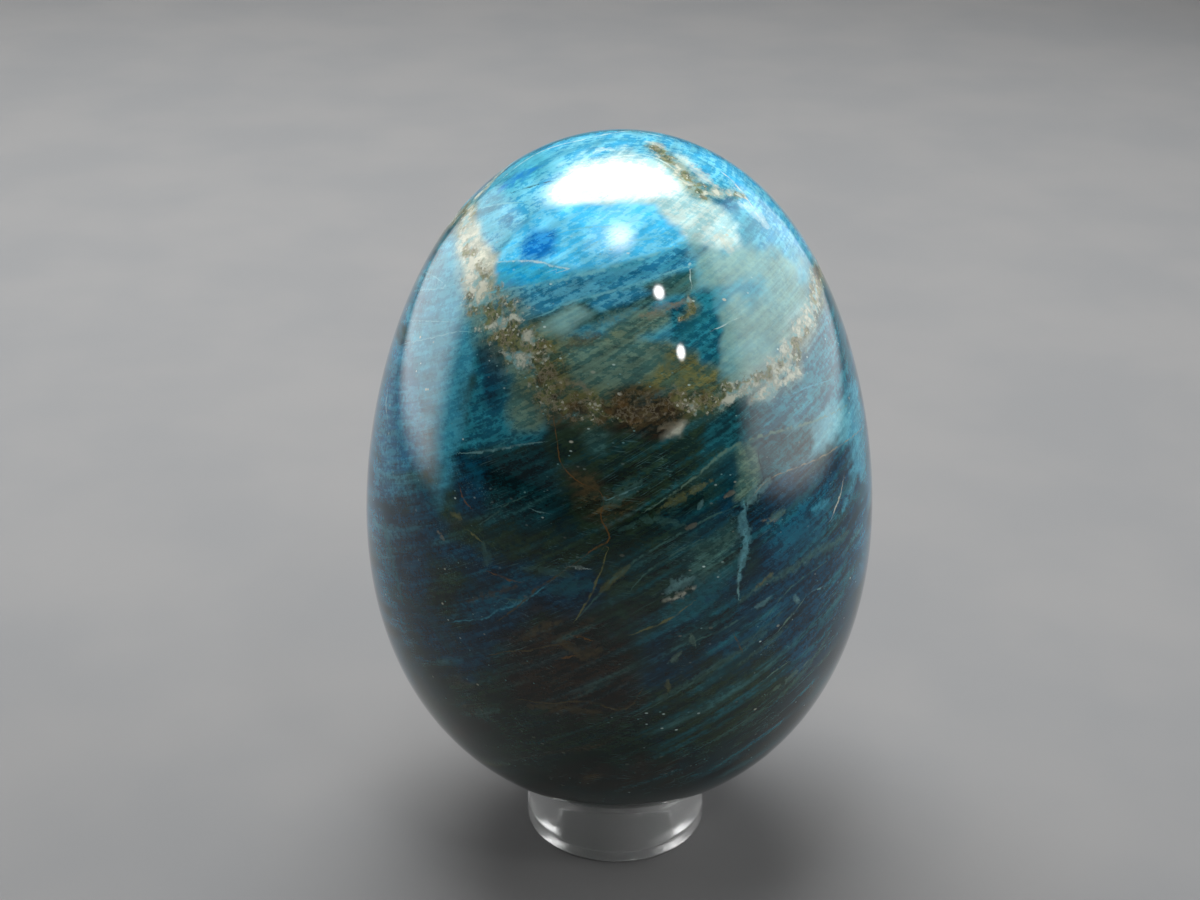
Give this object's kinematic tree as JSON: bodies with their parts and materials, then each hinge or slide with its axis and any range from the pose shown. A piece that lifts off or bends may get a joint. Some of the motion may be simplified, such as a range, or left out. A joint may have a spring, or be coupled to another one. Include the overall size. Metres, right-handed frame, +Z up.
{
  "type": "stone egg on ring stand",
  "caption": "Polished egg of veined blue stone resting blunt end down in a short clear ring stand, as a shelf or desk ornament.",
  "frame": {"origin": "centre of the ring stand's base, on the surface that it stands on", "axes": "+Z up along the common axis of the ring and the egg; -Y faces the viewer"},
  "size_m": [0.051, 0.051, 0.0761],
  "materials": {
    "polished_stone": "polished",
    "clear_acrylic": "polished clear"
  },
  "bodies": {
    "stand": {"ring_stand": "clear_acrylic"},
    "egg": {"stone_egg": "polished_stone"}
  },
  "joints": [
    {"name": "egg_lift", "type": "slide", "parent": "stand", "child": "egg", "axis": [0, 0, 1], "range_m": [0, 0.03]}
  ]
}
